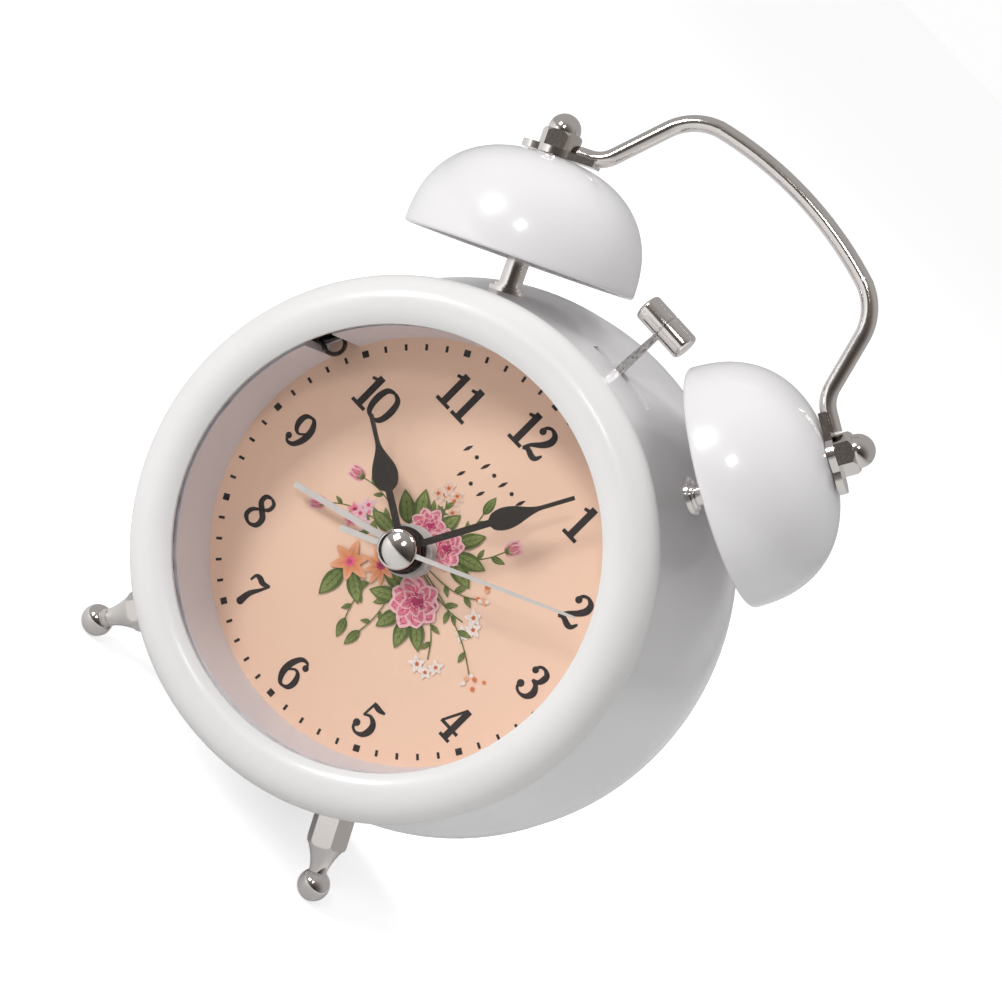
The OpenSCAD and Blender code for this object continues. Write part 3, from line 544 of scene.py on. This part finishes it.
# Each numeral's strokes, on a body 1 high and about 0.62 wide with its middle at (0, 0): (x, z, width)
# points of each pen stroke, then balls as (x, z, radius)
FIGURES = {
    "0": ([[(0, 0.44, 0.08), (-0.2, 0.33, 0.15), (-0.265, 0, 0.185), (-0.2, -0.33, 0.15),
           (0, -0.44, 0.08), (0.2, -0.33, 0.15), (0.265, 0, 0.185), (0.2, 0.33, 0.15),
           (0, 0.44, 0.08)]], []),
    "1": ([[(0.03, 0.49, 0.19), (0.03, 0, 0.19), (0.03, -0.44, 0.19)], [(-0.2, -0.45, 0.1),
           (0.26, -0.45, 0.1)], [(0.06, 0.45, 0.09), (-0.06, 0.35, 0.09), (-0.19, 0.31, 0.08)]], []),
    "2": ([[(-0.19, 0.24, 0.09), (-0.14, 0.38, 0.09), (0.0, 0.44, 0.09), (0.16, 0.36, 0.16),
           (0.19, 0.18, 0.19), (0.07, -0.02, 0.16), (-0.14, -0.22, 0.1), (-0.25, -0.42, 0.07)],
           [(-0.25, -0.42, 0.08), (-0.13, -0.35, 0.13), (0.08, -0.41, 0.16), (0.2, -0.38, 0.12),
           (0.27, -0.22, 0.06)]], [(-0.16, 0.24, 0.095)]),
    "3": ([[(-0.17, 0.27, 0.08), (-0.13, 0.39, 0.08), (0.0, 0.44, 0.09), (0.15, 0.37, 0.15),
           (0.17, 0.23, 0.17), (0.11, 0.08, 0.12), (-0.04, 0.03, 0.07)], [(-0.04, 0.03, 0.07),
           (0.13, -0.02, 0.13), (0.22, -0.2, 0.19), (0.15, -0.38, 0.14), (-0.02, -0.45, 0.08),
           (-0.17, -0.4, 0.08), (-0.22, -0.27, 0.08)]], [(-0.16, 0.26, 0.09), (-0.19, -0.25, 0.1)]),
    "4": ([[(0.08, 0.49, 0.17), (0.08, 0, 0.18), (0.08, -0.44, 0.18)], [(0.03, 0.46, 0.07),
           (-0.27, -0.17, 0.07)], [(-0.3, -0.18, 0.09), (0.29, -0.18, 0.09)], [(-0.09, -0.45, 0.09),
           (0.25, -0.45, 0.09)]], []),
    "5": ([[(-0.18, 0.47, 0.07), (-0.2, 0.02, 0.06)], [(-0.18, 0.42, 0.13), (0.0, 0.4, 0.15),
           (0.19, 0.44, 0.06)], [(-0.2, 0.03, 0.06), (-0.04, 0.12, 0.09), (0.15, 0.03, 0.16),
           (0.21, -0.16, 0.19), (0.14, -0.36, 0.14), (-0.03, -0.45, 0.08), (-0.17, -0.4, 0.08),
           (-0.22, -0.27, 0.08)]], [(-0.19, -0.25, 0.1)]),
    "6": ([[(0.17, 0.33, 0.07), (0.08, 0.43, 0.08), (-0.1, 0.37, 0.13), (-0.22, 0.1, 0.18),
           (-0.22, -0.2, 0.18), (-0.1, -0.42, 0.12), (0.03, -0.45, 0.08), (0.17, -0.36, 0.14),
           (0.2, -0.16, 0.17), (0.12, 0.03, 0.12), (-0.02, 0.08, 0.07), (-0.17, -0.05, 0.06)]],
           [(0.15, 0.3, 0.09)]),
    "7": ([[(-0.25, 0.2, 0.06), (-0.22, 0.38, 0.09), (-0.1, 0.41, 0.15), (0.06, 0.37, 0.15),
           (0.25, 0.45, 0.06)], [(0.25, 0.45, 0.06), (0.13, 0.2, 0.09), (-0.02, -0.08, 0.15),
           (-0.06, -0.4, 0.21)]], [(-0.06, -0.38, 0.105)]),
    "8": ([[(0, 0.44, 0.07), (-0.15, 0.36, 0.13), (-0.15, 0.18, 0.15), (0.02, 0.03, 0.16),
           (0.19, -0.12, 0.17), (0.19, -0.34, 0.14), (0, -0.45, 0.08), (-0.2, -0.35, 0.13),
           (-0.2, -0.15, 0.12), (-0.03, 0.02, 0.07), (0.15, 0.17, 0.11), (0.15, 0.36, 0.11),
           (0, 0.44, 0.07)]], []),
    "9": ([[(-0.17, -0.33, 0.07), (-0.08, -0.43, 0.08), (0.1, -0.37, 0.13), (0.22, -0.1, 0.18),
           (0.22, 0.2, 0.18), (0.1, 0.42, 0.12), (-0.03, 0.45, 0.08), (-0.17, 0.36, 0.14),
           (-0.2, 0.16, 0.17), (-0.12, -0.03, 0.12), (0.02, -0.08, 0.07), (0.17, 0.05, 0.06)]],
           [(-0.15, -0.3, 0.09)]),
}
FIGURE_HIGH = 5.7       # in millimetres
FIGURE_PITCH = 3.15     # between the two figures of 10, 11 and 12
# Where the middle of each numeral sits, in track radii right of and above the dial's middle
HOURS = {12: (0.02, 0.825), 1: (0.49, 0.70), 2: (0.78, 0.39), 3: (0.875, 0.0),
         4: (0.75, -0.42), 5: (0.445, -0.73), 6: (0.01, -0.845), 7: (-0.43, -0.73),
         8: (-0.69, -0.42), 9: (-0.83, 0.0), 10: (-0.67, 0.39), 11: (-0.37, 0.70)}


def numerals():
    for hour, (dx, dz) in HOURS.items():
        def build(bm, hour=hour, dx=dx, dz=dz):
            text = str(hour)
            for i, figure in enumerate(text):
                shift = (i - (len(text) - 1) / 2) * FIGURE_PITCH
                base = INK_BASE

                def put(p):
                    return on_card(dx * TRACK + shift + p[0] * FIGURE_HIGH, dz * TRACK + p[1] * FIGURE_HIGH)
                strokes, balls = FIGURES[figure]
                for points in strokes:
                    stroke(bm, points, base, place=put)
                    base += 0.002
                for x, z, r in balls:
                    disc(bm, x, z, r, base, place=put)
                    base += 0.002
        solid(f"numeral_{hour}", "case", black_ink, build)


# ---- the dial's bouquet ----

PINK = (0.88, 0.115, 0.25)
PALE_PINK = (0.95, 0.50, 0.53)
DEEP_PINK = (0.50, 0.04, 0.14)
ORANGE = (0.76, 0.21, 0.07)
PALE_ORANGE = (0.90, 0.47, 0.27)
CREAM = (0.95, 0.82, 0.74)
WHITE = (0.98, 0.87, 0.79)
LILAC = (0.86, 0.66, 0.78)
DARK_GREEN = (0.055, 0.095, 0.02)
GREEN = (0.15, 0.2, 0.045)
PALE_GREEN = (0.30, 0.35, 0.11)


def spot(x, z):
    """A place on the print given in hundredths of a track radius from the dial's middle."""
    return on_card(x * TRACK / 100, z * TRACK / 100)


def shade(colour, amount):
    return tuple(max(0, min(1, c * amount)) for c in colour)


def blend(a, b, t):
    return tuple(p + (q - p) * t for p, q in zip(a, b))


class Bouquet:
    """Collects the painted shapes; each new one lies a hair in front of the last."""

    def __init__(self):
        self.bm = bmesh.new()
        self.bm.loops.layers.float_color.new("tint")
        self.level = INK_BASE

    def lift(self):
        self.level += 0.0004
        return self.level

    def petal(self, x, z, angle, length, width, inner, outer, tip=0.0):
        """A petal or leaf from (x, z) towards angle, shaded from its root to its edge."""
        steps = 9
        rim = []
        for i in range(steps + 1):
            t = i / steps
            half = width / 2 * math.sin(math.pi * t ** (0.8 if tip else 0.62)) ** (0.9 if tip else 0.6)
            rim.append((t * length, half))
        line = rim + [(u, -v) for u, v in rim[-2:0:-1]]
        c, s = math.cos(angle), math.sin(angle)
        base = self.lift()
        ring = [self.bm.verts.new(clock(*self.turned(x, z, u, v, c, s, -base - 0.004))) for u, v in line]
        hub = self.bm.verts.new(clock(*self.turned(x, z, length * 0.42, 0, c, s, -base - 0.006)))
        back = [self.bm.verts.new(clock(*self.turned(x, z, u, v, c, s, -base))) for u, v in line]
        layer = self.bm.loops.layers.float_color["tint"]
        n = len(line)
        near = {ring[i]: blend(inner, outer, (line[i][0] / length) ** 0.8) for i in range(n)}
        near[hub] = blend(inner, outer, 0.3)
        for i in range(n):
            k = (i + 1) % n
            for verts in ((ring[i], ring[k], hub), (back[i], back[k], ring[k], ring[i])):
                face = self.bm.faces.new(verts)
                for loop in face.loops:
                    loop[layer] = (*near.get(loop.vert, outer), 1)

    @staticmethod
    def turned(x, z, u, v, c, s, y):
        return x + u * c - v * s, y, z + u * s + v * c

    def dot(self, x, z, radius, colour):
        disc(self.bm, x, z, radius, self.lift(), tint=colour, sides=14)

    def stem(self, points, width, colour):
        stroke(self.bm, [(x, z, width) for x, z in points], self.lift(), tint=colour)

    def ray(self, x, z, angle, start, end, width, colour, bend=0.0):
        """A brush line running outwards from (x, z), between two distances."""
        points = []
        for i in range(4):
            reach, turn = start + (end - start) * i / 3, angle + bend * i / 3
            points.append((x + reach * math.cos(turn), z + reach * math.sin(turn), width * (1 - 0.25 * i)))
        stroke(self.bm, points, self.lift(), steps=3, tint=colour)

    def leaf(self, x, z, angle, length, wide=0.46):
        """A dark-edged leaf with a lit side, a midrib and veins."""
        self.petal(x, z, angle, length, length * wide, DARK_GREEN, GREEN, tip=1)
        inset = 0.06 * length
        self.petal(x + inset * math.cos(angle), z + inset * math.sin(angle), angle, length * 0.86,
                   length * wide * 0.74, GREEN, PALE_GREEN, tip=1)
        self.ray(x, z, angle, 0, length * 0.9, 0.13, DARK_GREEN)
        if length > 2.4:
            for i in range(3):
                reach = length * (0.22 + 0.19 * i)
                for side in (-1, 1):
                    self.ray(x + reach * math.cos(angle), z + reach * math.sin(angle), angle + side * 0.75,
                             0, length * (0.21 - 0.03 * i), 0.09, DARK_GREEN)

    def veined(self, x, z, angle, length, width, dark, light, lines=3):
        """A petal with a pale edge and darker brush lines."""
        self.petal(x, z, angle, length, width, light, shade(light, 1.08))
        self.petal(x, z, angle, length * 0.88, width * 0.8, shade(dark, 0.9), blend(dark, light, 0.35))
        for i in range(lines):
            turn = (i - (lines - 1) / 2) * 0.42 * width / length
            self.ray(x, z, angle + turn, length * 0.25, length * random.uniform(0.62, 0.84), 0.09,
                     shade(dark, 0.62) if i % 2 else shade(light, 0.95))

    def rose(self, x, z, radius, count=8):
        """Open petals behind and a cup of folded ones in front, with pale edges."""
        for i in range(count):
            angle = TURN * i / count + random.uniform(-0.15, 0.15)
            root = radius * 0.22
            self.veined(x + root * math.cos(angle), z + root * math.sin(angle), angle,
                        radius * random.uniform(0.7, 0.84), radius * 0.78, PINK, PALE_PINK, 4)
        self.dot(x, z, radius * 0.35, DEEP_PINK)
        for reach, size, petals in ((0.3, 0.52, 6), (0.12, 0.42, 5)):
            for i in range(petals):
                angle = TURN * (i + reach) / petals + random.uniform(-0.2, 0.2)
                root = radius * reach
                self.veined(x + root * math.cos(angle), z + root * math.sin(angle), angle + 0.5,
                            radius * size, radius * size * 0.95, blend(PINK, DEEP_PINK, 0.55 * (0.5 - reach)),
                            PALE_PINK, 3)
        for i in range(5):
            turn, reach = TURN * i / 5 + 0.4, radius * 0.1 * (1 + i % 3)
            colour = shade(PALE_PINK, 1.1) if i % 2 else DEEP_PINK
            self.ray(x + reach * math.cos(turn), z + reach * math.sin(turn), turn + 1.5, 0,
                     radius * 0.34, 0.16, colour, 0.9)

    def daisy(self, x, z, radius, inner, outer, heart, count=9):
        for i in range(count):
            angle = TURN * i / count + random.uniform(-0.1, 0.1)
            reach = radius * random.uniform(0.88, 1.08)
            self.petal(x, z, angle, reach, radius * 3.4 / (count + 1), inner, outer)
            self.ray(x, z, angle, reach * 0.15, reach * 0.7, 0.07, shade(inner, 0.7))
        for i in range(7):
            angle = TURN * i / 7
            reach = radius * 0.16
            self.dot(x + reach * math.cos(angle), z + reach * math.sin(angle), radius * 0.09, heart)
        self.dot(x, z, radius * 0.12, shade(heart, 0.6))

    def bud(self, x, z, angle, length):
        """A closed bloom between green sepals."""
        for turn in (-0.3, 0.3, 0):
            self.veined(x, z, angle + turn, length, length * 0.5, PINK, PALE_PINK, 2)
        for turn in (-0.55, 0, 0.55):
            self.petal(x, z, angle + turn, length * 0.5, length * 0.16, DARK_GREEN, PALE_GREEN, tip=1)

    def finish(self):
        mesh = bpy.data.meshes.new("bouquet")
        self.bm.to_mesh(mesh)
        self.bm.free()
        piece = bpy.data.objects.new("bouquet", mesh)
        bpy.context.scene.collection.objects.link(piece)
        mesh.materials.append(watercolour("bouquet_print"))
        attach(piece, "case")


def from_hub(degrees, distance):
    """A place on the print, so many millimetres from the dial's middle."""
    angle = math.radians(degrees)
    return on_card(distance * math.cos(angle), distance * math.sin(angle))


def fan(b, centre, root, middle_angle, spread, count, length):
    """Large leaves pointing away from a centre, evenly spread about a middle angle in degrees."""
    for i in range(count):
        angle = math.radians(middle_angle + spread * (i / (count - 1) - 0.5) + random.uniform(-8, 8))
        b.leaf(centre[0] + root * math.cos(angle), centre[1] + root * math.sin(angle), angle,
               length * random.uniform(0.88, 1.1), 0.5)


def cluster(b, inner, outer, heart):
    """What draws three small star flowers round a stem's tip."""
    def draw(x, z, heading):
        for turn in (-1.0, 1.0, 0.0):
            reach = 1.5 + 0.4 * math.cos(turn)
            b.daisy(x + reach * math.cos(heading + turn), z + reach * math.sin(heading + turn),
                    random.uniform(1.15, 1.4), inner, outer, heart, 5)
    return draw


STEM_ROOT = 4           # how far from the dial's middle the stems start


def bouquet():
    """Bowed stems fanning out from the hub, then large leaves, then blooms over their roots."""
    b = Bouquet()

    def branch(degrees, reach, bend, tip, steps=5):
        line = [from_hub(degrees + bend * (i / steps) ** 2, STEM_ROOT + (reach - STEM_ROOT) * i / steps)
                for i in range(steps + 1)]
        b.stem(line, 0.17, shade(GREEN, 0.9))
        headings = [math.atan2(q[1] - p[1], q[0] - p[0]) for p, q in zip(line, line[1:])]
        for i in range(2, steps):
            b.leaf(*line[i], headings[i] + (0.8 if i % 2 else -0.8), random.uniform(1.5, 2.4), 0.42)
        tip(*line[-1], headings[-1])

    def bud(x, z, heading):
        b.bud(x, z, heading, 2.9)

    def leafy(x, z, heading):
        b.leaf(x, z, heading, 3.2)

    def berries(x, z, heading):
        for i in range(7):
            turn = heading + random.uniform(-1.2, 1.2)
            reach = 0.4 + 0.35 * i
            b.dot(x + reach * math.cos(turn), z + reach * math.sin(turn), random.uniform(0.26, 0.42),
                  random.choice((ORANGE, PALE_ORANGE, CREAM)))

    pinks = cluster(b, PINK, PALE_PINK, DEEP_PINK)
    lilacs = cluster(b, PALE_PINK, LILAC, PINK)
    creams = cluster(b, PALE_ORANGE, CREAM, ORANGE)
    whites = cluster(b, CREAM, WHITE, ORANGE)
    # each stem: its direction and reach, how far it bends sideways, and what it bears
    for degrees, reach, bend, tip in (
            (160, 13, 10, bud), (185, 15, 12, bud), (35, 14, 10, bud), (60, 12, 12, leafy),
            (205, 9, -10, pinks), (175, 8, 10, lilacs), (110, 8, -10, creams), (90, 9, 10, creams),
            (-15, 13, 8, whites), (-25, 16, -10, whites), (-10, 20, -8, berries),
            (0, 12, 10, berries), (-70, 14, -8, leafy), (-100, 14, 10, leafy)):
        branch(degrees, reach, bend, tip)
    low_rose, side_rose, daisy = from_hub(-40, 7.5), from_hub(50, 5), from_hub(-125, 9.5)
    fan(b, (0, 0), 4, 135, 90, 4, 5)
    fan(b, side_rose, 2, 25, 80, 3, 4.6)
    fan(b, daisy, 1.5, -60, 70, 2, 5)
    fan(b, low_rose, 2.5, -105, 150, 5, 5)
    b.rose(*from_hub(100, 4.5), 2.8, 7)
    b.rose(*side_rose, 3.2)
    b.daisy(*from_hub(-110, 5), 3.0, ORANGE, PALE_ORANGE, DEEP_PINK, 9)
    b.daisy(*daisy, 3.2, ORANGE, PALE_ORANGE, PINK, 6)
    b.rose(*low_rose, 4.2, 9)
    b.finish()


def scroll_ornament():
    """Two lines of plain lozenges and dots, where a dial carries its name."""
    def build(bm):
        base = INK_BASE
        for middle_x, z, half, size in ((2.5, 55, 22, 5.6), (0.5, 44, 14, 5.0)):
            count = round(2 * half / 6.3)
            for i in range(count):
                x = middle_x - half + (i + 0.5) * 2 * half / count
                base += 0.0005
                if i % 2:
                    disc(bm, *spot(x, z), 0.32, base, sides=14)
                    continue
                points = [(x + size * a, z + size * c, w) for a, c, w in
                          ((-0.16, -0.45, 0.1), (0, 0, 0.5), (0.16, 0.45, 0.1))]
                stroke(bm, [(*spot(px, pz), w) for px, pz, w in points], base)
    solid("dial_ornament", "case", black_ink, build)


# ---- camera, lights and floor ----

CAMERA_TURN = 12.16          # degrees to the clock's right of straight ahead
CAMERA_RISE = 15.68          # degrees above level
CAMERA_ROLL = 45.59          # the photographer held the camera turned
CAMERA_REACH = 0.37325       # from the lens to the point looked at
CAMERA_LENS = 89.82          # focal length in millimetres, on a 36 mm sensor


def place_camera():
    aim = clock(1.46, 10.0, 13.32)
    turn, rise = math.radians(CAMERA_TURN), math.radians(CAMERA_RISE)
    back = Vector((math.sin(turn) * math.cos(rise), -math.cos(turn) * math.cos(rise), math.sin(rise)))
    data = bpy.data.cameras.new("camera")
    data.lens = CAMERA_LENS
    data.sensor_width = 36
    data.clip_start = 0.01
    camera = bpy.data.objects.new("camera", data)
    camera.matrix_world = look(aim + back * CAMERA_REACH, aim, math.radians(CAMERA_ROLL))
    bpy.context.scene.collection.objects.link(camera)
    bpy.context.scene.camera = camera


def look(place, aim, roll=0.0):
    """A matrix at place whose -Z looks at aim, turned by roll about that line."""
    spin = (aim - place).to_track_quat("-Z", "Y").to_matrix().to_4x4()
    return Matrix.Translation(place) @ spin @ Matrix.Rotation(roll, 4, "Z")


def soft_light(name, place, aim, size, power, mirrored=True):
    data = bpy.data.lights.new(name, "AREA")
    data.shape = "RECTANGLE"
    data.size, data.size_y = size
    data.energy = power
    light = bpy.data.objects.new(name, data)
    light.visible_glossy = mirrored
    light.matrix_world = look(Vector(place), aim)
    bpy.context.scene.collection.objects.link(light)


DARK_SIDE = Vector((0.42, -0.86, -0.28))    # where the room behind the photographer lies


def light_scene():
    aim = Vector((0, 0, 0.06))
    soft_light("key", (-0.62, -0.7, 0.42), aim, (0.24, 0.24), 4.0)
    soft_light("window", (-0.1, -0.85, 0.55), aim, (0.14, 0.16), 1.2)
    soft_light("top", (-0.1, 0.25, 0.9), aim, (0.6, 0.5), 3.2, mirrored=False)
    world = bpy.data.worlds.new("studio")
    world.use_nodes = True
    tree = world.node_tree

    def add(kind, **values):
        node = tree.nodes.new(kind)
        for key, value in values.items():
            setattr(node, key, value)
        return node

    # A white room, whose side behind the photographer is brown-grey where gloss mirrors it
    facing = add("ShaderNodeVectorMath", operation="DOT_PRODUCT")
    facing.inputs[1].default_value = DARK_SIDE.normalized()
    tree.links.new(add("ShaderNodeTexCoord").outputs["Generated"], facing.inputs[0])
    ramp = add("ShaderNodeValToRGB")
    stops = ((0.0, (1, 0.98, 0.97)), (0.3, (0.80, 0.75, 0.72)), (0.6, (0.40, 0.35, 0.32)),
             (0.9, (0.10, 0.085, 0.075)))
    while len(ramp.color_ramp.elements) < len(stops):
        ramp.color_ramp.elements.new(0.5)
    for element, (place, colour) in zip(ramp.color_ramp.elements, stops):
        element.position = place
        element.color = (*colour, 1)
    tree.links.new(facing.outputs["Value"], ramp.inputs["Fac"])
    ray = add("ShaderNodeLightPath")
    mirrored = add("ShaderNodeMix", data_type="RGBA")
    mirrored.inputs["A"].default_value = (1, 1, 1, 1)
    tree.links.new(ray.outputs["Is Glossy Ray"], mirrored.inputs["Factor"])
    tree.links.new(ramp.outputs["Color"], mirrored.inputs["B"])
    backdrop = add("ShaderNodeMix", data_type="RGBA")
    backdrop.inputs["B"].default_value = (2.35, 2.35, 2.35, 1)
    tree.links.new(ray.outputs["Is Camera Ray"], backdrop.inputs["Factor"])
    tree.links.new(mirrored.outputs["Result"], backdrop.inputs["A"])
    tree.links.new(backdrop.outputs["Result"], tree.nodes["Background"].inputs["Color"])
    tree.nodes["Background"].inputs["Strength"].default_value = 0.42
    bpy.context.scene.world = world
    bpy.context.scene.view_settings.view_transform = "Standard"


def floor():
    """A wide pale floor, softly mottled, which shows white without lighting the clock."""
    bm = bmesh.new()
    bmesh.ops.create_grid(bm, x_segments=8, y_segments=8, size=6)
    mesh = bpy.data.meshes.new("floor")
    bm.to_mesh(mesh)
    bm.free()
    piece = bpy.data.objects.new("floor", mesh)
    bpy.context.scene.collection.objects.link(piece)
    s = Shader("floor_paper", Emission_Color=(1.0, 1.0, 1.0))
    glow = s.add("ShaderNodeMath", operation="MULTIPLY")
    glow.inputs[1].default_value = 0.62
    s.link(s.add("ShaderNodeLightPath").outputs["Is Camera Ray"], glow.inputs[0])
    s.set("Emission_Strength", glow.outputs["Value"])
    s.set("Base_Color", s.ramp(s.noise(3), (0.3, 0.78), (0.7, 0.81)))
    s.set("Roughness", 0.7)
    mesh.materials.append(s.material)


black_ink = ink("black_ink", (0.028, 0.02, 0.018))

dress_frame()
bells()
hub_cap()
minute_track()
numerals()
bouquet()
scroll_ornament()
place_camera()
light_scene()
floor()
